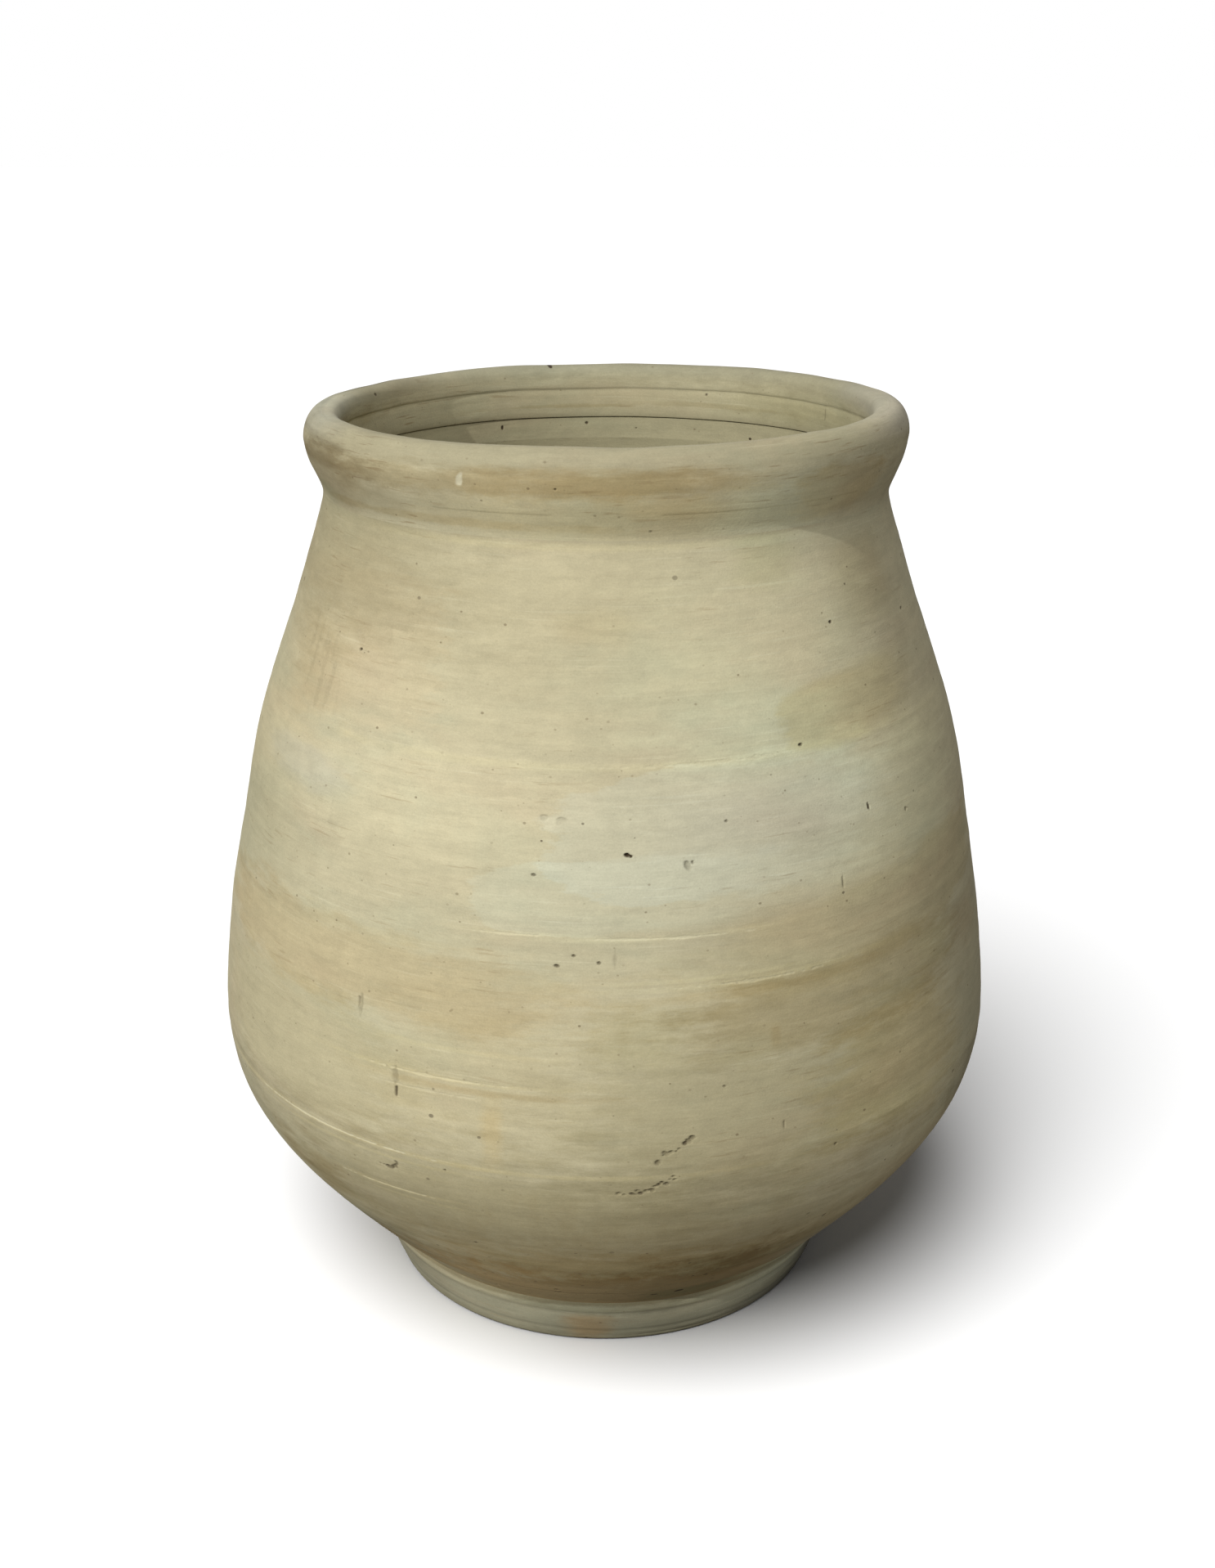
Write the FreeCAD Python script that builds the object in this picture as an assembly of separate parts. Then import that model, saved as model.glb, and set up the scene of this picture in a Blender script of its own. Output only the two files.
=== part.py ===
import FreeCAD, Part
import os

from FreeCAD import Vector

# A large unglazed clay jar, thrown in sections that are luted one on another.
# Millimetres, +Z up, origin at the centre of the foot's resting face.

# Heights, stacked from the floor up
FOOT_HEIGHT = 43.0           # resting face to the crease under the belly
SLAB_THICKNESS = 24.0        # disc that closes the bottom
BOWL_HEIGHT = 162.0          # top of the slab to the widest circle
LOWER_BELLY_HEIGHT = 138.0
UPPER_BELLY_HEIGHT = 125.0
SHOULDER_HEIGHT = 137.0      # up to the crease under the collar
COLLAR_HEIGHT = 17.0         # up to the step inside the mouth
RIM_SKIRT_HEIGHT = 23.0      # from the collar to the widest circle of the lip
RIM_CROWN_HEIGHT = 19.0      # from there to the top of the lip

# Outside radii
FOOT_CREASE_RADIUS = 186.0
FOOT_TAPER = 13.0            # the foot draws in by this much down to the floor
FOOT_BULGE = 1.0             # and swells by this much between
BELLY_RADIUS = 300.0
NECK_RADIUS = 206.5
LIP_OVERHANG = 12.3          # the lip stands out from the neck by this much

# Thicknesses and small forms
WALL = 20.0                  # up to the belly
NECK_WALL = 12.0             # it thins to this under the collar
FOOT_SEAT_WIDTH = 38.0       # across the top of the foot ring, where it is luted on
FOOT_STAND_WIDTH = 25.0      # across its lower side, which the jar stands on
FOOT_EDGE_ROUND = 5.0        # rounding of the lower side's two edges
LIP_THICKNESS = 26.0
LIP_STEP = 3.0               # the lip stands in from the collar's inside by this much
LUTE_DEPTH = 8.0             # depth of the tongue and groove between two sections
COIL_FOOT_WIDTH = 26.0       # corner coil, along the slab
COIL_RISE = 24.0             # and up the wall

# The swell of the wall: (share of the height, share of the widening), chosen by eye.
# The lower swell runs from the foot's crease up to the belly, the upper one from the belly up to the neck.
lower_swell_shares = ((0.0, 0.0), (0.25, 0.375), (0.5, 0.706), (0.75, 0.931), (1.0, 1.0))
upper_swell_shares = ((0.1, 0.971), (0.25, 0.882), (0.4, 0.756), (0.55, 0.623), (0.7, 0.413),
                      (0.85, 0.181), (1.0, 0.0))
# The flare of the collar and the lip's skirt: (share of its height, share of the lip's overhang)
collar_flare_shares = ((0.5, 0.308), (1.0, 0.594))
skirt_flare_shares = ((0.5, 0.883), (1.0, 1.0))
quarter_round_share = 0.552  # handle length of a quarter round, as a share of its reach
coil_hollow_share = 0.25     # how far a thumb hollows the corner coil, towards the corner

INSIDE_LEVELS = 16           # heights at which the inside of the wall is worked out
BISECTIONS = 60

# Levels that follow from the heights
SLAB_TOP = FOOT_HEIGHT + SLAB_THICKNESS
BELLY_LEVEL = SLAB_TOP + BOWL_HEIGHT
LOWER_BELLY_TOP = BELLY_LEVEL + LOWER_BELLY_HEIGHT
UPPER_BELLY_TOP = LOWER_BELLY_TOP + UPPER_BELLY_HEIGHT
NECK_LEVEL = UPPER_BELLY_TOP + SHOULDER_HEIGHT
COLLAR_TOP = NECK_LEVEL + COLLAR_HEIGHT
LIP_LEVEL = COLLAR_TOP + RIM_SKIRT_HEIGHT
JAR_TOP = LIP_LEVEL + RIM_CROWN_HEIGHT
LIP_RADIUS = NECK_RADIUS + LIP_OVERHANG


def at(radius, level):
    """A point of the jar's half section."""
    return Vector(radius, 0, level)


def smooth_curve(points):
    curve = Part.BSplineCurve()
    curve.interpolate(points)
    return curve


def place_on(curve, level):
    """The parameter at which a rising curve passes a level."""
    low = curve.FirstParameter
    high = curve.LastParameter
    for _ in range(BISECTIONS):
        middle = (low + high) / 2
        if curve.value(middle).z < level:
            low = middle
        else:
            high = middle
    return (low + high) / 2


def point_on(curve, level):
    return curve.value(place_on(curve, level))


def stretch(curve, bottom, top):
    """The edge of a rising curve between two levels."""
    return curve.toShape(place_on(curve, bottom), place_on(curve, top))


def lines(*points):
    return Part.makePolygon(points).Edges


def lute(inner, outer, depth):
    """The seam between two sections: a tongue that tapers into a groove of the same shape."""
    middle = (inner + outer) / 2 + Vector(0, 0, depth)
    return lines(inner, middle, outer)


def turned(edges):
    """The solid that a closed half section makes round the jar's axis."""
    outline = Part.Wire(Part.sortEdges(edges)[0])
    return Part.Face(outline).revolve(Vector(0, 0, 0), Vector(0, 0, 1), 360)


def outside_of_wall():
    points = []
    for height_share, swell_share in lower_swell_shares:
        level = FOOT_HEIGHT + height_share * (BELLY_LEVEL - FOOT_HEIGHT)
        points.append(at(FOOT_CREASE_RADIUS + swell_share * (BELLY_RADIUS - FOOT_CREASE_RADIUS), level))
    for height_share, swell_share in upper_swell_shares:
        level = BELLY_LEVEL + height_share * (NECK_LEVEL - BELLY_LEVEL)
        points.append(at(NECK_RADIUS + swell_share * (BELLY_RADIUS - NECK_RADIUS), level))
    return smooth_curve(points)


def inside_of_wall(outside):
    """The wall has its thickness square to the outside, and thins from the belly up to the neck."""
    points = []
    for step in range(INSIDE_LEVELS + 1):
        level = SLAB_TOP + step / INSIDE_LEVELS * (NECK_LEVEL - SLAB_TOP)
        place = place_on(outside, level)
        lean = outside.tangent(place)[0]
        above_belly = max(0.0, (level - BELLY_LEVEL) / (NECK_LEVEL - BELLY_LEVEL))
        thickness = WALL + (NECK_WALL - WALL) * above_belly
        points.append(at(outside.value(place).x - thickness / abs(lean.z), level))
    return smooth_curve(points)


def outside_of_collar():
    points = [at(NECK_RADIUS, NECK_LEVEL)]
    for height_share, flare_share in collar_flare_shares:
        points.append(at(NECK_RADIUS + flare_share * LIP_OVERHANG, NECK_LEVEL + height_share * COLLAR_HEIGHT))
    for height_share, flare_share in skirt_flare_shares:
        points.append(at(NECK_RADIUS + flare_share * LIP_OVERHANG, COLLAR_TOP + height_share * RIM_SKIRT_HEIGHT))
    return smooth_curve(points)


def quarter_round(side, crest):
    """A quarter round that leaves the side upright and comes to the crest level."""
    up = Vector(0, 0, crest.z - side.z) * quarter_round_share
    back = Vector(side.x - crest.x, 0, 0) * quarter_round_share
    curve = Part.BezierCurve()
    curve.setPoles([side, side + up, crest + back, crest])
    return curve.toShape()


def foot_ring():
    crease = at(FOOT_CREASE_RADIUS, FOOT_HEIGHT)
    outer_edge = at(FOOT_CREASE_RADIUS - FOOT_TAPER, 0)
    inner_edge = at(FOOT_CREASE_RADIUS - FOOT_TAPER - FOOT_STAND_WIDTH, 0)
    inner_top = at(FOOT_CREASE_RADIUS - FOOT_SEAT_WIDTH, FOOT_HEIGHT)
    swell = (crease + outer_edge) / 2 + Vector(FOOT_BULGE, 0, 0)
    side = Part.Arc(crease, swell, outer_edge).toShape()
    ring = turned([side] + lines(outer_edge, inner_edge, inner_top) + lute(inner_top, crease, LUTE_DEPTH))
    standing_edges = [edge for edge in ring.Edges if edge.BoundBox.ZMax < FOOT_EDGE_ROUND]
    return ring.makeFillet(FOOT_EDGE_ROUND, standing_edges)


def base_slab(outside, inside):
    crease = at(FOOT_CREASE_RADIUS, FOOT_HEIGHT)
    ring_inside = at(FOOT_CREASE_RADIUS - FOOT_SEAT_WIDTH, FOOT_HEIGHT)
    corner = point_on(inside, SLAB_TOP)
    edges = lute(ring_inside, crease, LUTE_DEPTH)
    edges += [stretch(outside, FOOT_HEIGHT, SLAB_TOP)]
    edges += lute(corner, point_on(outside, SLAB_TOP), -LUTE_DEPTH)
    edges += lines(corner, at(0, SLAB_TOP), at(0, FOOT_HEIGHT), ring_inside)
    return turned(edges)


def corner_coil(inside):
    corner = point_on(inside, SLAB_TOP)
    slab_end = at(corner.x - COIL_FOOT_WIDTH, SLAB_TOP)
    wall_end = point_on(inside, SLAB_TOP + COIL_RISE)
    chord_middle = (slab_end + wall_end) / 2
    hollow = chord_middle + (corner - chord_middle) * coil_hollow_share
    face = Part.Arc(slab_end, hollow, wall_end).toShape()
    return turned([face, stretch(inside, SLAB_TOP, SLAB_TOP + COIL_RISE)] + lines(slab_end, corner))


def wall_section(outside, inside, bottom, top):
    edges = [stretch(outside, bottom, top), stretch(inside, bottom, top)]
    for level in (bottom, top):
        edges += lute(point_on(inside, level), point_on(outside, level), -LUTE_DEPTH)
    return turned(edges)


def collar_mouth():
    """Where the collar's inside ends, under the lip."""
    return at(LIP_RADIUS - LIP_THICKNESS + LIP_STEP, COLLAR_TOP)


def neck_collar(flare, inside):
    throat = point_on(inside, NECK_LEVEL)
    mouth = collar_mouth()
    edges = [stretch(flare, NECK_LEVEL, COLLAR_TOP)]
    edges += lines(throat, mouth)
    edges += lute(throat, at(NECK_RADIUS, NECK_LEVEL), -LUTE_DEPTH)
    edges += lute(mouth, point_on(flare, COLLAR_TOP), -LUTE_DEPTH)
    return turned(edges)


def rim_roll(flare):
    mouth = collar_mouth()
    widest = at(LIP_RADIUS, LIP_LEVEL)
    crest = at(LIP_RADIUS - LIP_THICKNESS / 2, JAR_TOP)
    inner_side = at(LIP_RADIUS - LIP_THICKNESS, JAR_TOP - LIP_THICKNESS / 2)
    edges = [stretch(flare, COLLAR_TOP, LIP_LEVEL)]
    edges += [quarter_round(widest, crest), quarter_round(inner_side, crest)]
    edges += lines(inner_side, at(LIP_RADIUS - LIP_THICKNESS, COLLAR_TOP), mouth)
    edges += lute(mouth, point_on(flare, COLLAR_TOP), -LUTE_DEPTH)
    return turned(edges)


outside = outside_of_wall()
inside = inside_of_wall(outside)
flare = outside_of_collar()

pieces = {
    "foot_ring": foot_ring(),
    "base_slab": base_slab(outside, inside),
    "corner_coil": corner_coil(inside),
    "lower_bowl": wall_section(outside, inside, SLAB_TOP, BELLY_LEVEL),
    "lower_belly": wall_section(outside, inside, BELLY_LEVEL, LOWER_BELLY_TOP),
    "upper_belly": wall_section(outside, inside, LOWER_BELLY_TOP, UPPER_BELLY_TOP),
    "shoulder": wall_section(outside, inside, UPPER_BELLY_TOP, NECK_LEVEL),
    "neck_collar": neck_collar(flare, inside),
    "rim_roll": rim_roll(flare),
}

os.makedirs("parts", exist_ok=True)
for name, piece in pieces.items():
    piece.exportStep("parts/" + name + ".step")
    state = "valid" if piece.isValid() else "NOT VALID"
    print(name, state, len(piece.Solids), "solid", round(piece.Volume), "mm3")
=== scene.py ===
import math
import random

import bmesh
import bpy
import numpy as np
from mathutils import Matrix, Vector, noise


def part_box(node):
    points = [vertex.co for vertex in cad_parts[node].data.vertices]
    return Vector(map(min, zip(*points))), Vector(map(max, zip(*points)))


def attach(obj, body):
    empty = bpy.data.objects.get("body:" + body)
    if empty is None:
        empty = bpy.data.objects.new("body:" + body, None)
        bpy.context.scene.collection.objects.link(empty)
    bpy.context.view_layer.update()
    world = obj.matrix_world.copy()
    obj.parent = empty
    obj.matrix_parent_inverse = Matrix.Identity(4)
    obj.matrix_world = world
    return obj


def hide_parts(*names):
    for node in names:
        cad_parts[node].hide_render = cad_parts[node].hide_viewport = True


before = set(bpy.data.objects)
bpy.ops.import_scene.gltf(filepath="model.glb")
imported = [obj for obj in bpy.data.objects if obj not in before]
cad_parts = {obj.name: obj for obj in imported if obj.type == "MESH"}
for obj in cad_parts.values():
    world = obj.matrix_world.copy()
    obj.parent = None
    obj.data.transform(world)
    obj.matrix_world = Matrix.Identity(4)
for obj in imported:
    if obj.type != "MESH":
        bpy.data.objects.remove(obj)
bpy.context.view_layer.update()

# Base slab
# A disc of clay beaten flat on the wheel head, which closes the bottom of the jar.
# Its outer edge is the first band of wall over the foot, stained brown by damp ground.

mm = 0.001
crease_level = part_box("base_slab")[0].z
slab_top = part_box("base_slab")[1].z
belly_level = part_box("lower_bowl")[1].z
neck_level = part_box("shoulder")[1].z
jar_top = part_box("rim_roll")[1].z
crease_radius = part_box("foot_ring")[1].x
belly_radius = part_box("lower_bowl")[1].x
neck_radius = 206.5 * mm
wall = 20 * mm
neck_wall = 12 * mm
lute_depth = 8 * mm
foot_seat = 38 * mm
row_height = 1.6 * mm
inside_row_height = 8 * mm

# (share of the height, share of the widening), foot to belly and belly to neck
lower_swell_shares = ((0.0, 0.0), (0.25, 0.375), (0.5, 0.706), (0.75, 0.931), (1.0, 1.0))
upper_swell_shares = ((0.1, 0.971), (0.25, 0.882), (0.4, 0.756), (0.55, 0.623), (0.7, 0.413),
                      (0.85, 0.181), (1.0, 0.0))


def between(low, high, share):
    return low + (high - low) * share


def smooth_outline(points):
    """The radius at any height of a smooth line through (height, radius) points.
    Beyond its ends the line runs on straight."""
    heights, radii = np.array(points).T
    steps = np.diff(heights)
    slopes = np.diff(radii) / steps
    count = len(points)
    system = np.eye(count)
    bends = np.zeros(count)
    for row in range(1, count - 1):
        system[row, row - 1:row + 2] = steps[row - 1], 2 * (steps[row - 1] + steps[row]), steps[row]
        bends[row] = 3 * (slopes[row] - slopes[row - 1])
    bends = np.linalg.solve(system, bends)

    def radius_at(height):
        inside = np.clip(height, heights[0], heights[-1])
        span = np.clip(np.searchsorted(heights, inside) - 1, 0, count - 2)
        above = inside - heights[span]
        twist = (bends[span + 1] - bends[span]) / (3 * steps[span])
        lean = slopes[span] - steps[span] * (2 * bends[span] + bends[span + 1]) / 3
        radius = radii[span] + above * (lean + above * (bends[span] + above * twist))
        straight_on = lean + above * (2 * bends[span] + 3 * above * twist)
        return radius + straight_on * (height - inside)

    return radius_at


wall_points = []
for rise_share, swell_share in lower_swell_shares:
    wall_points.append((between(crease_level, belly_level, rise_share),
                        between(crease_radius, belly_radius, swell_share)))
for rise_share, swell_share in upper_swell_shares:
    wall_points.append((between(belly_level, neck_level, rise_share),
                        between(neck_radius, belly_radius, swell_share)))
wall_radius = smooth_outline(wall_points)

# The collar and the lip's skirt flare over the neck: (share of the height, share of the lip's overhang)
collar_flare_shares = ((0.0, 0.0), (0.5, 0.308), (1.0, 0.594))
skirt_flare_shares = ((0.5, 0.883), (1.0, 1.0))
rim_skirt_height = 23 * mm
collar_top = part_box("neck_collar")[1].z
lip_level = collar_top + rim_skirt_height
lip_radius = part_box("rim_roll")[1].x
flare_points = []
for rise_share, flare_share in collar_flare_shares:
    flare_points.append((between(neck_level, collar_top, rise_share),
                         between(neck_radius, lip_radius, flare_share)))
for rise_share, flare_share in skirt_flare_shares:
    flare_points.append((between(collar_top, lip_level, rise_share),
                         between(neck_radius, lip_radius, flare_share)))
flare_radius = smooth_outline(flare_points)

# The wall runs into the collar with a soft crease, and a faint ridge shows each seam
crease_softness = 2.4 * mm
crease_sink = 2.6 * mm
crease_reach = 30 * mm
seam_ridge = 0.15 * mm
seam_ridge_width = 3.0 * mm
seam_levels = [belly_level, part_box("lower_belly")[1].z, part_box("upper_belly")[1].z]


def outside_radius(height):
    """The outside of the wall and the collar, with the crease and the ridges."""
    body = wall_radius(height)
    collar = flare_radius(height)
    apart = (body - collar) / 2
    radius = (body + collar) / 2 + np.hypot(apart, crease_softness)
    radius = radius - crease_sink * np.exp(-((height - neck_level) / crease_reach) ** 2)
    for level in seam_levels:
        radius = radius + seam_ridge * np.exp(-((height - level) / seam_ridge_width) ** 2)
    return radius


def inside_radius(height):
    """The wall's thickness lies square to its outside, and thins from the belly up to the neck."""
    lean = (wall_radius(height + mm) - wall_radius(height - mm)) / (2 * mm)
    above_belly = np.clip((height - belly_level) / (neck_level - belly_level), 0, 1)
    return wall_radius(height) - between(wall, neck_wall, above_belly) * np.hypot(1, lean)


# Points of a half section are (radius, height, outside), with outside 1 on the outer face, 0 on the inner one
def outer_face(bottom, top):
    rows = max(2, round((top - bottom) / row_height) + 1)
    return [(outside_radius(height), height, 1.0) for height in np.linspace(bottom, top, rows)]


def inner_face(top, bottom):
    rows = max(2, round((top - bottom) / inside_row_height) + 1)
    return [(inside_radius(height), height, 0.0) for height in np.linspace(top, bottom, rows)]


def lute(first, second, depth):
    """The bottom of the groove, or the top of the tongue, between two edges of a seam."""
    return [((first[0] + second[0]) / 2, (first[1] + second[1]) / 2 + depth, 0.5)]


def add(tree, kind, inputs=None, **options):
    """Add a node, set its options, and give its inputs links or values."""
    made = tree.nodes.new(kind)
    for name, value in options.items():
        setattr(made, name, value)
    for key, value in (inputs or {}).items():
        if isinstance(value, bpy.types.NodeSocket):
            tree.links.new(value, made.inputs[key])
        else:
            made.inputs[key].default_value = value
    return made


def calc(tree, operation, *values, clamp=False):
    options = {"operation": operation, "use_clamp": clamp}
    return add(tree, "ShaderNodeMath", dict(enumerate(values)), **options).outputs[0]


def vector(tree, x, y, z):
    return add(tree, "ShaderNodeCombineXYZ", {0: x, 1: y, 2: z}).outputs[0]


def split(tree, value):
    return add(tree, "ShaderNodeSeparateXYZ", {0: value}).outputs


def cloud(tree, place, detail=0.0, roughness=0.5, distortion=0.0):
    """Soft noise about 0, from -1 to 1."""
    noise_inputs = {"Vector": place, "Scale": 1.0, "Detail": detail, "Roughness": roughness,
                    "Distortion": distortion}
    waves = add(tree, "ShaderNodeTexNoise", noise_inputs).outputs[0]
    return calc(tree, "MULTIPLY_ADD", waves, 2.0, -1.0)


def rise(tree, value, low, high):
    """0 below low, 1 above high, and smooth between them; falls if low is the higher."""
    span = {0: value, 1: low, 2: high}
    return add(tree, "ShaderNodeMapRange", span, interpolation_type="SMOOTHSTEP").outputs[0]


def wheel_tree():
    """Sweeps a half section round the axis, then presses in what the wheel and the potter's fingers leave."""
    tree = bpy.data.node_groups.new("wheel", "GeometryNodeTree")
    sockets = (
        ("Section", "Geometry", None), ("Facets round", "Int", 480), ("Seed", "Float", 4.0),
        ("Out of round", "Float", 1.6 * mm), ("Calm radius", "Float", 50 * mm),
        ("Finger depth", "Float", 0.45 * mm), ("Finger spacing", "Float", 24 * mm),
        ("Line depth", "Float", 0.16 * mm), ("Line spacing", "Float", 6 * mm),
        ("Rim wave", "Float", 2.0 * mm), ("Rim ripple", "Float", 1.2 * mm), ("Rim tilt", "Float", 0.01),
        ("Sway", "Float", 1.4 * mm), ("Sway level", "Float", seam_levels[1]),
        ("Sway reach", "Float", 45 * mm), ("Neck level", "Float", neck_level), ("Jar top", "Float", jar_top),
        ("Weld distance", "Float", 0.01 * mm), ("Corner angle", "Float", math.radians(24)),
        ("Clay", "Material", None))
    for label, kind, value in sockets:
        socket = tree.interface.new_socket(label, in_out="INPUT", socket_type="NodeSocket" + kind)
        if value is not None:
            socket.default_value = value
    tree.interface.new_socket("Piece", in_out="OUTPUT", socket_type="NodeSocketGeometry")
    given = tree.nodes.new("NodeGroupInput").outputs
    result = tree.nodes.new("NodeGroupOutput").inputs

    def keep(geometry, label, value, kind):
        stored = {"Geometry": geometry, "Name": label, "Value": value}
        return add(tree, "GeometryNodeStoreNamedAttribute", stored, data_type=kind, domain="POINT").outputs[0]

    def kept(label, kind):
        return add(tree, "GeometryNodeInputNamedAttribute", {"Name": label}, data_type=kind).outputs[0]

    point = split(tree, tree.nodes.new("GeometryNodeInputPosition").outputs[0])
    section = keep(given["Section"], "from axis", point["X"], "FLOAT")
    section = keep(section, "height", point["Z"], "FLOAT")
    section = add(tree, "GeometryNodeMeshToCurve", {0: section}).outputs[0]
    turn = add(tree, "GeometryNodeCurvePrimitiveCircle", {"Resolution": given["Facets round"], "Radius": 1.0})
    turned_to = tree.nodes.new("GeometryNodeInputPosition").outputs[0]
    turn = keep(turn.outputs[0], "direction", turned_to, "FLOAT_VECTOR")
    swept = add(tree, "GeometryNodeCurveToMesh", {"Curve": turn, "Profile Curve": section}).outputs[0]
    swept = add(tree, "GeometryNodeFlipFaces", {0: swept}).outputs[0]

    height = kept("height", "FLOAT")
    radius = kept("from axis", "FLOAT")
    side = calc(tree, "MULTIPLY_ADD", kept("outside", "FLOAT"), 5.0, given["Seed"])
    direction = kept("direction", "FLOAT_VECTOR")
    east, north, _ = split(tree, direction)

    def marks(reach, spacing, depth, offset):
        """Waves over the wall that run round it for some way and change with the height."""
        place = vector(tree, calc(tree, "MULTIPLY_ADD", east, reach, offset),
                       calc(tree, "MULTIPLY_ADD", north, reach, side), calc(tree, "DIVIDE", height, spacing))
        return calc(tree, "MULTIPLY", cloud(tree, place, detail=1.0), depth)

    wobble = marks(reach=0.9, spacing=0.4, depth=given["Out of round"], offset=0.0)
    fingers = marks(reach=0.8, spacing=given["Finger spacing"], depth=given["Finger depth"], offset=11.0)
    fine_lines = marks(reach=1.4, spacing=given["Line spacing"], depth=given["Line depth"], offset=23.0)
    push = calc(tree, "ADD", wobble, calc(tree, "ADD", fingers, fine_lines))
    push = calc(tree, "MULTIPLY", push, rise(tree, radius, 0.0, given["Calm radius"]))
    on_rim = rise(tree, height, given["Neck level"], given["Jar top"])
    wave = calc(tree, "MULTIPLY", cloud(tree, vector(tree, east, north, given["Seed"])), given["Rim wave"])
    ripple_east = calc(tree, "MULTIPLY", east, 3.0)
    ripple_north = calc(tree, "MULTIPLY", north, 3.0)
    ripple = cloud(tree, vector(tree, ripple_east, ripple_north, given["Seed"]), detail=1.0)
    wave = calc(tree, "MULTIPLY_ADD", ripple, given["Rim ripple"], wave)
    tilt = calc(tree, "MULTIPLY", calc(tree, "MULTIPLY", east, radius), given["Rim tilt"])
    lift = calc(tree, "MULTIPLY", calc(tree, "ADD", wave, tilt), on_rim)
    out = calc(tree, "ADD", radius, push)
    swayed = rise(tree, height, calc(tree, "SUBTRACT", given["Sway level"], given["Sway reach"]),
                  calc(tree, "ADD", given["Sway level"], given["Sway reach"]))
    sway = calc(tree, "MULTIPLY", swayed, given["Sway"])
    place = vector(tree, calc(tree, "MULTIPLY_ADD", east, out, sway), calc(tree, "MULTIPLY", north, out),
                   calc(tree, "ADD", height, lift))
    piece = add(tree, "GeometryNodeSetPosition", {"Geometry": swept, "Position": place}).outputs[0]
    welding = {0: piece, "Distance": given["Weld distance"]}
    piece = add(tree, "GeometryNodeMergeByDistance", welding).outputs[0]
    bend = tree.nodes.new("GeometryNodeInputMeshEdgeAngle").outputs[0]
    gentle = add(tree, "FunctionNodeCompare", {0: bend, 1: given["Corner angle"]}, operation="LESS_THAN")
    for domain, smooth in (("FACE", True), ("EDGE", gentle.outputs[0])):
        shading = {0: piece, "Shade Smooth": smooth}
        piece = add(tree, "GeometryNodeSetShadeSmooth", shading, domain=domain).outputs[0]
    piece = add(tree, "GeometryNodeRealizeInstances", {0: piece}).outputs[0]
    piece = add(tree, "GeometryNodeSetMaterial", {0: piece, "Material": given["Clay"]}).outputs[0]
    tree.links.new(piece, result[0])
    return tree


wheel = wheel_tree()
clay_socket = wheel.interface.items_tree["Clay"].identifier
jar_pieces = []


def thrown(name, section, clay, closed=True):
    """One piece of the jar, thrown from its half section, which goes up the outside and down the inside."""
    count = len(section)
    edges = [(point, (point + 1) % count) for point in range(count if closed else count - 1)]
    profile = bpy.data.meshes.new(name)
    profile.from_pydata([(radius, 0, height) for radius, height, _ in section], edges, [])
    outside = profile.attributes.new("outside", "FLOAT", "POINT")
    outside.data.foreach_set("value", [point[2] for point in section])
    piece = bpy.data.objects.new(name, profile)
    bpy.context.collection.objects.link(piece)
    turning = piece.modifiers.new("wheel", "NODES")
    turning.node_group = wheel
    turning[clay_socket] = clay
    graph = bpy.context.evaluated_depsgraph_get()
    piece.data = bpy.data.meshes.new_from_object(piece.evaluated_get(graph))
    piece.modifiers.clear()
    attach(piece, "root")
    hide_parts(name)
    jar_pieces.append(piece)
    return piece


def shader_group(name, inputs, outputs):
    """A shader node group, with its input and output sockets."""
    tree = bpy.data.node_groups.new(name, "ShaderNodeTree")
    for label, kind, value in inputs:
        socket = tree.interface.new_socket(label, in_out="INPUT", socket_type="NodeSocket" + kind)
        socket.default_value = value
    for label, kind in outputs:
        tree.interface.new_socket(label, in_out="OUTPUT", socket_type="NodeSocket" + kind)
    return tree, tree.nodes.new("NodeGroupInput").outputs, tree.nodes.new("NodeGroupOutput").inputs


def use(tree, group, inputs=None):
    """Place a shader group, and give its inputs."""
    return add(tree, "ShaderNodeGroup", inputs, node_tree=group).outputs


def here(tree):
    """The x, y and z of the place that is shaded."""
    return split(tree, add(tree, "ShaderNodeTexCoord").outputs["Object"])


def blend(tree, share, first, second, mode="MIX"):
    colors = {0: share, 6: first, 7: second}
    return add(tree, "ShaderNodeMix", colors, data_type="RGBA", blend_type=mode).outputs[2]


def paint(red, green, blue):
    return (red, green, blue, 1.0)


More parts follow.
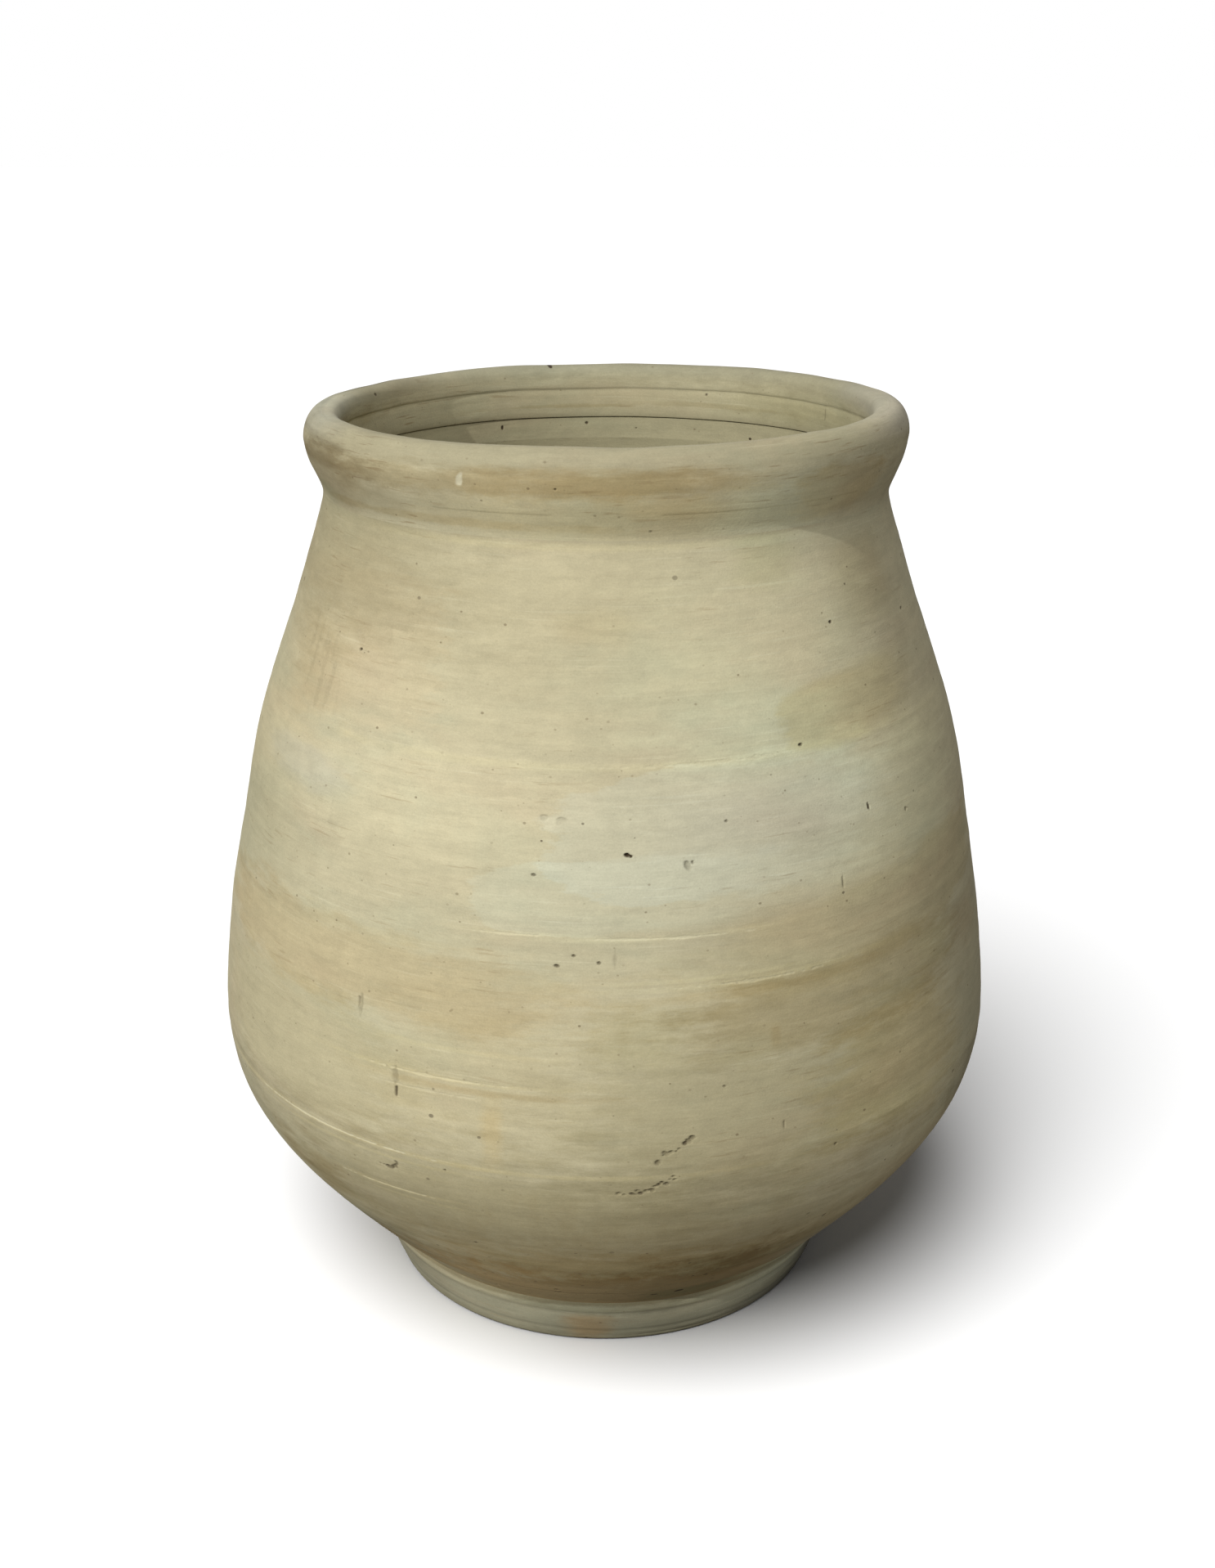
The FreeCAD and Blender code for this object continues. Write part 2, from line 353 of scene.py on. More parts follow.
def mix_wheel_clay():
    """Clay wiped round on the wheel: dabs of a wet hand, short strokes, blushes and a sandy grain."""
    tree, given, result = shader_group(
        "wheel clay",
        (("Clay", "Color", paint(0.57, 0.515, 0.335)), ("Green", "Color", paint(0.5, 0.49, 0.33)),
         ("Blush", "Color", paint(0.55, 0.45, 0.29)), ("Pale", "Color", paint(0.7, 0.66, 0.46)),
         ("Brown", "Color", paint(0.36, 0.28, 0.16)), ("Green share", "Float", 0.42),
         ("Blush share", "Float", 0.34), ("Brown share", "Float", 0.45), ("Pale share", "Float", 0.3),
         ("Radial lean", "Float", 0.0), ("Seed", "Float", 0.0)),
        (("Color", "Color"), ("Height", "Float"), ("Torn", "Float")))
    x, y, z = here(tree)
    radius = calc(tree, "SQRT", calc(tree, "ADD", calc(tree, "MULTIPLY", x, x), calc(tree, "MULTIPLY", y, y)))
    level = calc(tree, "MULTIPLY_ADD", radius, given["Radial lean"], z)

    def spot(around, along, shift):
        """A place on the jar, at so many waves to the metre round it and up it."""
        return vector(tree, calc(tree, "MULTIPLY_ADD", x, around, calc(tree, "ADD", given["Seed"], shift)),
                      calc(tree, "MULTIPLY", y, around), calc(tree, "MULTIPLY", level, along))

    def layer(around, along, shift=0.0, **options):
        return cloud(tree, spot(around, along, shift), **options)

    def dabs(around, along, shift):
        """One tone for each dab of the hand, long round the jar, with torn ends."""
        tear = layer(around * 2.5, along * 2.0, shift + 3.0, detail=3.0, roughness=0.7)
        tear = calc(tree, "MULTIPLY", tear, 0.9)
        torn_place = {0: spot(around, along, shift), 1: vector(tree, tear, tear, tear)}
        place = add(tree, "ShaderNodeVectorMath", torn_place).outputs[0]
        cells = add(tree, "ShaderNodeTexVoronoi", {"Vector": place, "Scale": 1.0})
        return calc(tree, "MULTIPLY_ADD", split(tree, cells.outputs["Color"])[0], 2.0, -1.0)

    green = rise(tree, layer(5.0, 14.0, 11.0, detail=5.0, roughness=0.6, distortion=0.5), -0.05, 0.35)
    blush = rise(tree, layer(4.5, 12.0, 23.0, detail=5.0, roughness=0.6, distortion=0.5), 0.0, 0.4)
    busy = rise(tree, layer(9.0, 22.0, 40.0, detail=3.0), -0.1, 0.35)
    brown_dashes = rise(tree, layer(30.0, 420.0, 71.0, detail=2.0, roughness=0.65), 0.2, 0.42)
    pale_dashes = rise(tree, layer(14.0, 520.0, 57.0, detail=2.0, roughness=0.6), 0.2, 0.5)
    color = blend(tree, calc(tree, "MULTIPLY", green, given["Green share"]), given["Clay"], given["Green"])
    color = blend(tree, calc(tree, "MULTIPLY", blush, given["Blush share"]), color, given["Blush"])
    brown_dashes = calc(tree, "MULTIPLY", brown_dashes, calc(tree, "MULTIPLY", busy, given["Brown share"]))
    color = blend(tree, brown_dashes, color, given["Brown"])
    color = blend(tree, calc(tree, "MULTIPLY", pale_dashes, given["Pale share"]), color, given["Pale"])

    blots = layer(44.0, 84.0, detail=4.0, roughness=0.78)
    smudges = layer(52.0, 34.0, 13.0, detail=5.0, roughness=0.8)
    mottles = layer(95.0, 110.0, 29.0, detail=4.0, roughness=0.75)
    strokes = layer(30.0, 330.0, 5.0, detail=3.0, roughness=0.75)
    bands = layer(7.0, 90.0, detail=3.0, roughness=0.6)
    threads = layer(5.0, 640.0, 19.0, detail=2.0, roughness=0.7)
    grain = layer(800.0, 800.0, detail=1.0)
    tone = 0.97
    for waves, strength in ((blots, 0.085), (smudges, 0.075), (mottles, 0.05),
                            (dabs(14.0, 105.0, 31.0), 0.02), (dabs(7.0, 30.0, 47.0), 0.02),
                            (dabs(55.0, 300.0, 59.0), 0.03), (dabs(120.0, 210.0, 67.0), 0.02),
                            (strokes, 0.04), (bands, 0.055), (threads, 0.03), (grain, 0.085)):
        tone = calc(tree, "MULTIPLY_ADD", waves, strength, tone)
    color = blend(tree, 1.0, color, vector(tree, tone, tone, tone), "MULTIPLY")
    height = calc(tree, "MULTIPLY_ADD", strokes, 0.4, calc(tree, "MULTIPLY", blots, 0.4))
    tree.links.new(color, result["Color"])
    tree.links.new(calc(tree, "MULTIPLY_ADD", grain, 0.3, height), result["Height"])
    tree.links.new(layer(18.0, 80.0, 83.0, detail=4.0, roughness=0.7), result["Torn"])
    return tree


wheel_clay = mix_wheel_clay()


def scatter_specks():
    """Pinholes and dark grit, scattered through the clay, some darker than others."""
    tree, given, result = shader_group("specks", (("Spacing", "Float", 18 * mm), ("Size", "Float", 1.5 * mm)),
                                       (("Speck", "Float"),))
    x, y, z = here(tree)
    flatness = 1.3
    least_size = 0.3
    least_darkness = 0.25
    place = vector(tree, x, y, calc(tree, "MULTIPLY", z, flatness))
    to_the_metre = calc(tree, "DIVIDE", 1.0, given["Spacing"])
    grit = add(tree, "ShaderNodeTexVoronoi", {"Vector": place, "Scale": to_the_metre}).outputs
    away = calc(tree, "MULTIPLY", grit["Distance"], given["Spacing"])
    darkness, size, _ = split(tree, grit["Color"])
    size = calc(tree, "MULTIPLY_ADD", size, 1 - least_size, least_size)
    away = calc(tree, "DIVIDE", calc(tree, "DIVIDE", away, given["Size"]), size)
    darkness = calc(tree, "MULTIPLY_ADD", darkness, 1 - least_darkness, least_darkness)
    tree.links.new(calc(tree, "MULTIPLY", rise(tree, away, 1.0, 0.6), darkness), result["Speck"])
    return tree


specks = scatter_specks()


def cut_patch():
    """A patch at one angle from the front and one height, with edges torn along the wheel: a stain, a wiped
    place, painted shade and painted light.
    It may climb round the jar, in metres to the degree, and its edge may soften to one side."""
    tree, given, result = shader_group(
        "patch",
        (("Torn", "Float", 0.0), ("Angle", "Float", 0.0), ("Height", "Float", 300 * mm),
         ("Half angle", "Float", 10.0), ("Half height", "Float", 50 * mm), ("Softness", "Float", 0.3),
         ("Raggedness", "Float", 0.3), ("Climb", "Float", 0.0), ("Fade", "Float", 0.0)),
        (("Mask", "Float"),))
    x, y, z = here(tree)
    angle = calc(tree, "MULTIPLY", calc(tree, "ARCTAN2", x, calc(tree, "MULTIPLY", y, -1.0)), 180 / math.pi)
    angle = calc(tree, "WRAP", calc(tree, "SUBTRACT", angle, given["Angle"]), 180.0, -180.0)
    across = calc(tree, "DIVIDE", angle, given["Half angle"])
    middle = calc(tree, "MULTIPLY_ADD", angle, given["Climb"], given["Height"])
    along = calc(tree, "DIVIDE", calc(tree, "SUBTRACT", z, middle), given["Half height"])
    squareness = 3.0
    least_softness = 0.03
    far_across = calc(tree, "POWER", calc(tree, "ABSOLUTE", across), squareness)
    far_along = calc(tree, "POWER", calc(tree, "ABSOLUTE", along), squareness)
    away = calc(tree, "POWER", calc(tree, "ADD", far_across, far_along), 1 / squareness)
    away = calc(tree, "MULTIPLY_ADD", given["Torn"], given["Raggedness"], away)
    softness = calc(tree, "MULTIPLY_ADD", across, given["Fade"], given["Softness"])
    softness = calc(tree, "MAXIMUM", softness, least_softness)
    edge = rise(tree, away, calc(tree, "ADD", 1.0, softness), calc(tree, "SUBTRACT", 1.0, softness))
    tree.links.new(edge, result["Mask"])
    return tree


patch = cut_patch()


def lay_patches(tree, color, torn, patches):
    """Lay stains, and patches of painted shade and painted light, one over another. Each has a tint that
    multiplies the colour, an angle from the front, a height, a half angle, a half height, a softness and a
    raggedness, and some have a climb and a fade."""
    for tint, angle, level, half_angle, half_height, softness, raggedness, *drift in patches:
        climb, fade = drift or (0.0, 0.0)
        place = {"Torn": torn, "Angle": angle, "Height": level * mm, "Half angle": half_angle,
                 "Half height": half_height * mm, "Softness": softness, "Raggedness": raggedness,
                 "Climb": climb * mm, "Fade": fade}
        color = blend(tree, use(tree, patch, place)[0], color, paint(*tint), "MULTIPLY")
    return color


def soak_stain():
    """Brown stain that has climbed the wall from damp ground, higher to the right, and darker to the right,
    partly as painted shade on the side away from the light.
    """
    tree, given, result = shader_group("damp stain", (("Clay", "Color", paint(0.57, 0.515, 0.335)),),
                                       (("Color", "Color"),))
    x, y, z = here(tree)

    def layer(around, along, **options):
        place = vector(tree, calc(tree, "MULTIPLY", x, around), calc(tree, "MULTIPLY", y, around),
                       calc(tree, "MULTIPLY", z, along))
        return cloud(tree, place, **options)

    runs = layer(70.0, 12.0, detail=4.0, roughness=0.7)
    blots = layer(26.0, 36.0, detail=6.0, roughness=0.72)
    run_length = 50 * mm
    blot_size = 70 * mm
    rightward_rise = 0.12
    faint_reach = (210 * mm, 130 * mm)
    strong_reach = (135 * mm, 85 * mm)
    dry_side = (100 * mm, 160 * mm)
    turn_to_right = (-120 * mm, 120 * mm)
    level = calc(tree, "MULTIPLY_ADD", runs, run_length, calc(tree, "MULTIPLY_ADD", blots, blot_size, z))
    level = calc(tree, "MULTIPLY_ADD", x, -rightward_rise, level)
    faint = calc(tree, "MULTIPLY", rise(tree, level, *faint_reach), 0.7)
    strong = rise(tree, level, *strong_reach)
    drying = calc(tree, "MULTIPLY_ADD", rise(tree, x, *dry_side), -0.6, 1.0)
    strong = calc(tree, "MULTIPLY", strong, drying)
    # Darker brown to the right: partly the stain's own colour, partly painted shade on the side away from the
    # light
    brown = blend(tree, rise(tree, x, *turn_to_right), paint(0.9, 0.76, 0.6), paint(0.62, 0.51, 0.38))
    color = blend(tree, faint, given["Clay"], paint(0.88, 0.83, 0.75), "MULTIPLY")
    color = blend(tree, calc(tree, "MULTIPLY", strong, 0.9), color, brown, "MULTIPLY")
    spots = rise(tree, layer(95.0, 120.0, detail=3.0, roughness=0.65), 0.2, 0.45)
    spots = calc(tree, "MULTIPLY", spots, strong)
    color = blend(tree, calc(tree, "MULTIPLY", spots, 0.5), color, paint(0.13, 0.095, 0.055))
    tree.links.new(color, result["Color"])
    return tree


damp_stain = soak_stain()


def clay_material(name):
    """An empty matt clay, ready for its colour and its height."""
    clay = bpy.data.materials.new(name)
    clay.use_nodes = True
    skin = clay.node_tree.nodes["Principled BSDF"]
    skin.inputs["Roughness"].default_value = 0.9
    skin.inputs["Specular IOR Level"].default_value = 0.25
    return clay, clay.node_tree, skin


# Spacing and size in millimetres, strength and colour, from dust to the coarse grit that has left holes
grits = ((10, 1.3, 0.45, paint(0.22, 0.165, 0.095)), (15, 1.5, 0.65, paint(0.16, 0.115, 0.06)),
         (34, 2.4, 0.85, paint(0.07, 0.05, 0.03)))
hole_depth = 1.5
pit_color = paint(0.06, 0.042, 0.022)
scratch_color = paint(0.7, 0.66, 0.47)


def finish_clay(tree, skin, color, height):
    """Scatter the grit, darken the pits, and lead colour and height to the clay's skin."""
    for spacing, size, strength, grit_color in grits:
        grit = use(tree, specks, {"Spacing": spacing * mm, "Size": size * mm})[0]
        color = blend(tree, calc(tree, "MULTIPLY", grit, strength), color, grit_color)
    height = calc(tree, "MULTIPLY_ADD", grit, -hole_depth, height)
    pit = add(tree, "ShaderNodeAttribute", attribute_name="pit").outputs["Fac"]
    color = blend(tree, calc(tree, "MULTIPLY", pit, 1.0, clamp=True), color, pit_color)
    color = blend(tree, calc(tree, "MULTIPLY", pit, -1.0, clamp=True), color, scratch_color)
    dents = add(tree, "ShaderNodeBump", {"Strength": 0.5, "Distance": 0.3 * mm, "Height": height}).outputs[0]
    tree.links.new(color, skin.inputs["Base Color"])
    tree.links.new(dents, skin.inputs["Normal"])


def paint_inside_shade(tree, color, tint):
    """Darken the inside faces by a tint: painted shade inside the jar."""
    outside = add(tree, "ShaderNodeAttribute", attribute_name="outside").outputs["Fac"]
    return blend(tree, calc(tree, "SUBTRACT", 1.0, outside, clamp=True), color, tint, "MULTIPLY")


def smooth_step(low, high, value):
    share = np.clip((value - low) / (high - low), 0, 1)
    return share * share * (3 - 2 * share)


def within_mark(points, mark):
    """Where points lie in a mark, from its middle, as shares of its half width and its half height."""
    angle, level, half_width, half_height, turn = mark[:5]
    away = np.arctan2(points[:, 0], -points[:, 1]) - math.radians(angle)
    across = ((away + math.pi) % (2 * math.pi) - math.pi) * np.hypot(points[:, 0], points[:, 1])
    along = points[:, 2] - level * mm
    turn = math.radians(turn)
    return ((across * math.cos(turn) + along * math.sin(turn)) / (half_width * mm),
            (along * math.cos(turn) - across * math.sin(turn)) / (half_height * mm))


def on_face(points, inside):
    """Which points lie on the outer face, or else on the inner one."""
    outer = np.hypot(points[:, 0], points[:, 1]) > outside_radius(points[:, 2]) - wall / 4
    return outer != inside


# How far a mark reaches, as shares of its half size, and the margin in millimetres that is cut finer too
touch_share = 1.2
widest_share = 2.0
press_shares = (0.35, 1.0)
tone_shares = (0.6, 1.15)
margin_across = 4.0
margin_along = 2.0
cuts = 3
tears_to_the_metre = (320, 70)
tear_strength = 0.6


def press(piece, marks, inside=False):
    """Press marks into a piece's outer or inner face, which is cut finer there, and keep their tone."""
    mesh = piece.data
    centres = np.empty(len(mesh.polygons) * 3)
    mesh.polygons.foreach_get("center", centres)
    centres = centres.reshape(-1, 3)
    touched = np.zeros(len(centres), bool)
    for mark in marks:
        half_width, half_height = mark[2:4]
        across, along = within_mark(centres, mark)
        near_across = abs(across) < touch_share + margin_across / half_width
        near_along = abs(along) < touch_share + margin_along / half_height
        touched |= near_across & near_along
    touched &= on_face(centres, inside)
    shape = bmesh.new()
    shape.from_mesh(mesh)
    shape.faces.ensure_lookup_table()
    edges = {edge for index in np.flatnonzero(touched) for edge in shape.faces[index].edges}
    bmesh.ops.subdivide_edges(shape, edges=list(edges), cuts=cuts, use_grid_fill=True)
    tones = shape.verts.layers.float.get("pit") or shape.verts.layers.float.new("pit")
    shape.verts.ensure_lookup_table()
    points = np.array([vert.co for vert in shape.verts])
    facing = on_face(points, inside)
    for mark in marks:
        depth, tone, raggedness = mark[5:]
        away = np.hypot(*within_mark(points, mark))
        for index in np.flatnonzero(facing & (away < widest_share)):
            vert = shape.verts[index]
            torn = sum(noise.noise(vert.co * waves) * tear_strength for waves in tears_to_the_metre)
            reach = away[index] + raggedness * torn
            pressed = depth * mm * (1 - smooth_step(*press_shares, reach)) * (-1 if inside else 1)
            vert.co.xy *= 1 - pressed / vert.co.xy.length
            kept = tone * (1 - smooth_step(*tone_shares, reach))
            if abs(kept) > abs(vert[tones]):
                vert[tones] = kept
    shape.to_mesh(mesh)
    shape.free()


def mix_base_clay():
    clay, tree, skin = clay_material("base_clay")
    wiped = use(tree, wheel_clay)
    stained = use(tree, damp_stain, {"Clay": wiped["Color"]})[0]
    stained = lay_patches(tree, stained, wiped["Torn"], (
        ((0.76, 0.84, 0.82), 17, 58, 9, 12, 0.7, 0.8),
        ((1.44, 1.75, 2.05), 40, 60, 10, 12, 0.7, 0.8),
        ((1.02, 1.18, 1.42), -42, 60, 12, 12, 0.7, 0.8),
        ((0.62, 0.65, 0.76), 57, 60, 8, 12, 0.7, 0.8),
        ((0.9, 0.93, 0.96), 0, 58, 34, 12, 0.7, 0.8),
    ))
    finish_clay(tree, skin, stained, wiped["Height"])
    return clay


base_clay = mix_base_clay()
slab_edge = outer_face(crease_level, slab_top)
corner = (inside_radius(slab_top), slab_top, 0.0)
ring_inside = (crease_radius - foot_seat, crease_level, 0.5)
floor_shares = (0.95, 0.8, 0.6, 0.4, 0.2, 0.0)
slab_floor = [(corner[0] * share, slab_top, 0.0) for share in floor_shares]
slab_under = [(ring_inside[0] * share, crease_level, 0.5) for share in reversed(floor_shares)]
slab_section = slab_under + [ring_inside] + lute(ring_inside, slab_edge[0], lute_depth) + slab_edge
slab_section += lute(slab_edge[-1], corner, -lute_depth) + [corner] + slab_floor
# Marks: angle from the front, height, half width, half height, turn, depth, tone (pale below 0), raggedness
slab_marks = [(16, 61, 4.4, 2.2, 10, 1.2, 1.2, 0.45), (10.6, 59, 3.4, 1.6, 0, 0.9, 0.9, 0.5),
              (-9.4, 66, 3.0, 1.6, 0, 1.0, 1.1, 0.45), (-24, 55, 1.8, 1.2, 0, 0.8, 0.6, 0.5),
              (140, 58, 2.4, 1.3, 8, 1.0, 0.8, 0.5), (-130, 60, 1.8, 1.1, 0, 1.0, 0.8, 0.5)]
press(thrown("base_slab", slab_section, base_clay, closed=False), slab_marks)

# Corner coil
# A roll of soft clay pressed into the inside corner between the slab and the wall.
# The potter's thumb smears it hollow, so that the joint doesn't open as the jar dries.

coil_width = 26 * mm
coil_rise = 24 * mm
coil_hollow_share = 0.25
coil_steps = 10
coil_on_slab = (corner[0] - coil_width, slab_top)
coil_on_wall = (inside_radius(slab_top + coil_rise), slab_top + coil_rise)
coil_section = [(coil_on_slab[0], slab_top, 0.0), corner]
coil_section += inner_face(slab_top + coil_rise, slab_top)[::-1][1:]
coil_middle = [(coil_on_slab[axis] + coil_on_wall[axis]) / 2 for axis in (0, 1)]
coil_sink = [(corner[axis] - coil_middle[axis]) * coil_hollow_share for axis in (0, 1)]
for step in range(coil_steps - 1, 0, -1):
    share = step / coil_steps
    depth = 4 * share * (1 - share)
    coil_section.append((between(coil_on_slab[0], coil_on_wall[0], share) + coil_sink[0] * depth,
                         between(coil_on_slab[1], coil_on_wall[1], share) + coil_sink[1] * depth, 0.0))
thrown("corner_coil", coil_section, base_clay)

# Wall sections
# Four rings of clay thrown one after another, each luted on the stiffened one below and wiped smooth
# with a wet hand. Low-fired and unglazed, with salts, soot, damp and knocks left on them by long use.

wall_levels = {
    "lower_bowl": (slab_top, belly_level),
    "lower_belly": (belly_level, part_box("lower_belly")[1].z),
    "upper_belly": (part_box("upper_belly")[0].z + lute_depth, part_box("upper_belly")[1].z),
    "shoulder": (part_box("shoulder")[0].z + lute_depth, neck_level),
}

# Stains, and among them some painted shade and a painted shadow, in the order that lay_patches takes
stains_and_painted_shade = (
    ((0.76, 0.74, 0.69), -60, 602, 30, 48, 0.7, 0.6),
    ((1.02, 0.99, 0.97), -50, 546, 23, 54, 0.3, 0.5, 0, -0.2),
    ((0.96, 0.95, 0.92), -2, 577, 6, 10, 0.5, 0.8),
    ((0.93, 0.92, 0.9), -6, 576, 22, 52, 0.7, 0.6),
    # Painted shade at the left edge
    ((0.92, 0.91, 0.88), -67, 460, 14, 90, 0.7, 0.6),
    ((1.08, 1.08, 1.06), 44, 485, 28, 15, 0.7, 0.7),
    ((1.14, 1.17, 1.17), 28, 558, 22, 50, 0.6, 0.7),
    ((1.06, 1.1, 1.12), 24, 507, 16, 20, 0.5, 0.7),
    ((0.92, 0.88, 0.79), 43, 514, 15, 21, 0.28, 0.4, 0.3, 0.2),
    ((1.1, 1.1, 1.1), -46, 464, 32, 32, 0.5, 0.8),
    ((0.95, 0.98, 1.06), -54, 463, 11, 13, 0.4, 0.8),
    ((1.03, 1.07, 1.14), 19, 450, 26, 42, 0.12, 0.3, 0.2, 0.3),
    ((1.04, 1.08, 1.13), 2, 412, 20.5, 24, 0.1, 0.25, 0.25, 0.25),
    ((1.05, 1.06, 1.1), 27, 458, 18, 22, 0.5, 0.5, 0.2, 0),
    ((1.14, 1.17, 1.16), 50, 440, 15, 44, 0.5, 0.7),
    ((0.94, 0.89, 0.82), -40, 345, 36, 27, 0.3, 0.8, -0.15, 0.1),
    ((0.93, 0.9, 0.83), 44, 372, 32, 31, 0.18, 0.4, 0.45, -0.1),
    ((0.83, 0.79, 0.71), 36, 325, 24, 29, 0.3, 0.6, 0.15, 0),
    ((0.93, 0.92, 0.88), -48, 270, 22, 46, 0.3, 0.7),
    # Partly an olive tone, partly painted shade on the lower belly
    ((0.8, 0.79, 0.74), 19, 252, 24, 63, 0.6, 0.8),
    ((0.98, 0.93, 0.82), 44, 262, 14, 48, 0.4, 0.9),
    ((0.98, 0.96, 0.92), -18, 286, 14, 44, 0.6, 1.0),
    ((0.88, 0.88, 0.89), -66, 206, 18, 26, 0.7, 0.6),
    # Painted shade at the right edge, on the side away from the light
    ((0.74, 0.74, 0.74), 71, 202, 11, 22, 0.7, 0.6),
    ((1.22, 1.28, 1.38), 35, 179, 12, 22, 0.7, 0.8),
    ((0.78, 0.77, 0.7), 28, 108, 16, 16, 0.7, 0.9),
    # Partly its own tone, partly painted shade on the lower belly
    ((0.74, 0.72, 0.66), -9, 182, 44, 46, 0.7, 0.8),
    # Painted shade at the right edge, on the side away from the light
    ((0.82, 0.82, 0.82), 68, 290, 13, 80, 0.6, 0.6),
    ((0.91, 0.83, 0.69), 1, 114, 24, 26, 0.6, 1.0),
    ((0.63, 0.63, 0.61), -50, 97, 16, 28, 0.7, 0.9),
    ((0.92, 0.95, 0.98), 12, 84, 18, 40, 0.8, 1.0),
    # Painted shadow of the rim on the right shoulder
    ((0.9, 0.88, 0.83), 54, 590, 8, 26, 0.6, 0.5),
    ((1.06, 1.08, 1.1), 31, 417, 8, 16, 0.6, 0.7),
    ((1.12, 1.16, 1.22), 19, 304, 4, 8, 0.6, 0.8),
    ((0.93, 0.93, 0.88), 5, 317, 6, 20, 0.7, 0.8),
    ((0.91, 0.92, 0.94), 17, 206, 6, 10, 0.7, 0.8),
    ((0.98, 1.03, 1.15), 42, 92, 8, 16, 0.7, 0.8),
    ((0.91, 0.92, 0.87), 30, 614, 6, 17, 0.7, 0.6),
    ((1.08, 1.1, 1.08), 54, 333, 5, 12, 0.7, 0.8),
    ((0.93, 0.88, 0.84), 67, 328, 6, 15, 0.7, 0.7),
    ((1.07, 1.1, 1.1), 41, 231, 8, 11, 0.7, 0.8),
    ((0.96, 0.92, 0.86), 6, 103, 5, 11, 0.7, 0.9),
    ((1.05, 1.1, 1.15), 18, 105, 5, 9, 0.7, 0.9),
    ((0.97, 0.92, 0.88), 122, 540, 26, 46, 0.3, 0.6, 0, 0.2),
    ((1.06, 1.09, 1.14), 158, 420, 30, 34, 0.15, 0.35, 0.3, 0.3),
    ((0.94, 0.9, 0.81), 178, 345, 48, 28, 0.3, 0.8, 0.2, 0),
    ((0.92, 0.88, 0.78), -146, 508, 20, 22, 0.25, 0.5),
    ((1.07, 1.08, 1.07), -118, 452, 28, 30, 0.5, 0.8),
    ((0.97, 0.92, 0.81), -132, 272, 18, 46, 0.4, 0.9),
    ((0.88, 0.86, 0.8), 118, 262, 26, 54, 0.6, 0.8),
    ((0.84, 0.82, 0.77), 180, 190, 70, 40, 0.7, 0.8),
)
streaks_and_painted_highlights = (
    # These two: painted highlight just under the neck's crease
    ((1.08, 1.08, 1.04), -6, 625, 36, 2.4, 0.7, 0.4),
    ((1.05, 1.09, 1.12), 33, 624, 10, 3.4, 0.7, 0.4),
    ((1.06, 1.06, 1.03), 4, 492, 52, 2.4, 0.8, 1.2),
    ((1.12, 1.13, 1.11), 7, 384.5, 13, 1.6, 0.7, 0.8, 0.03, 0),
    ((1.09, 1.09, 1.06), -12, 386.5, 7, 1.2, 0.7, 0.8, 0.05, 0),
    ((1.09, 1.1, 1.08), 22, 351.5, 20, 1.8, 0.7, 0.9, 0.05, 0),
    ((1.07, 1.08, 1.06), 16, 356, 15, 1.2, 0.7, 0.9, 0.05, 0),
    ((0.92, 0.89, 0.83), 18, 344, 18, 3.0, 0.6, 1.2, 0.04, 0),
    ((0.92, 0.88, 0.82), -14, 277, 14, 2.2, 0.6, 1.4),
    ((1.07, 1.06, 1.03), -16, 304, 12, 1.6, 0.7, 0.9),
    ((1.09, 1.08, 1.03), -22, 283, 14, 1.4, 0.7, 0.9, 0.02, 0),
    ((1.16, 1.14, 1.07), -32, 221, 44, 1.6, 0.7, 0.6),
    ((1.08, 1.07, 1.02), -34, 214, 22, 1.2, 0.7, 0.9),
    ((1.12, 1.1, 1.04), -30, 187, 9, 1.4, 0.7, 0.6),
    ((1.08, 1.07, 1.03), -26, 181, 7, 1.2, 0.7, 0.6),
    ((1.01, 0.95, 0.85), -14.4, 250, 1.3, 20, 0.7, 0.8),
    ((0.95, 0.91, 0.85), 23, 311, 0.7, 7, 0.6, 0.6),
    ((0.97, 0.94, 0.9), -55, 528, 8, 28, 0.9, 1.4),
    ((0.84, 0.79, 0.7), -45, 166, 4.5, 24, 0.7, 1.2),
    ((0.86, 0.81, 0.73), -52, 176, 3.0, 16, 0.7, 1.2),
    ((1.1, 1.09, 1.05), 150, 383, 26, 1.6, 0.7, 0.8, 0.03, 0),
    ((1.1, 1.09, 1.04), -140, 220, 34, 1.6, 0.7, 0.7),
    ((1.07, 1.07, 1.03), 172, 494, 40, 2.0, 0.8, 1.2),
    ((0.9, 0.86, 0.79), -165, 338, 18, 2.6, 0.6, 1.2),
    ((1.0, 0.93, 0.82), 104, 246, 1.4, 22, 0.7, 0.8),
)
# Painted shade on the inside faces of the wall: darker down in the belly, and less dark at the throat, as
# painted light against the shadow under the throat
belly_painted_shade = paint(0.62, 0.62, 0.58)
throat_painted_shade_and_light = paint(0.78, 0.78, 0.73)
throat_levels = (520 * mm, 630 * mm)


def mix_body_clay(node, bottom, top):
    """The clay of one section, with the places and the streaks that reach it."""
    clay, tree, skin = clay_material("body_clay_" + node)
    wiped = use(tree, wheel_clay)
    near = []
    for place in stains_and_painted_shade + streaks_and_painted_highlights:
        _, _, level, half_angle, half_height, softness, raggedness, *drift = place
        climb, fade = drift or (0.0, 0.0)
        reach = half_height * (1 + softness + raggedness + 2 * abs(fade)) + 2 * half_angle * abs(climb)
        if bottom - reach * mm < level * mm < top + reach * mm:
            near.append(place)
    color = lay_patches(tree, wiped["Color"], wiped["Torn"], near)
    color = use(tree, damp_stain, {"Clay": color})[0]
    # Painted shade inside, with painted light towards the throat
    inside_painted_light_and_shade = blend(tree, rise(tree, here(tree)[2], *throat_levels), belly_painted_shade, throat_painted_shade_and_light)
    color = paint_inside_shade(tree, color, inside_painted_light_and_shade)
    finish_clay(tree, skin, color, wiped["Height"])
    return clay


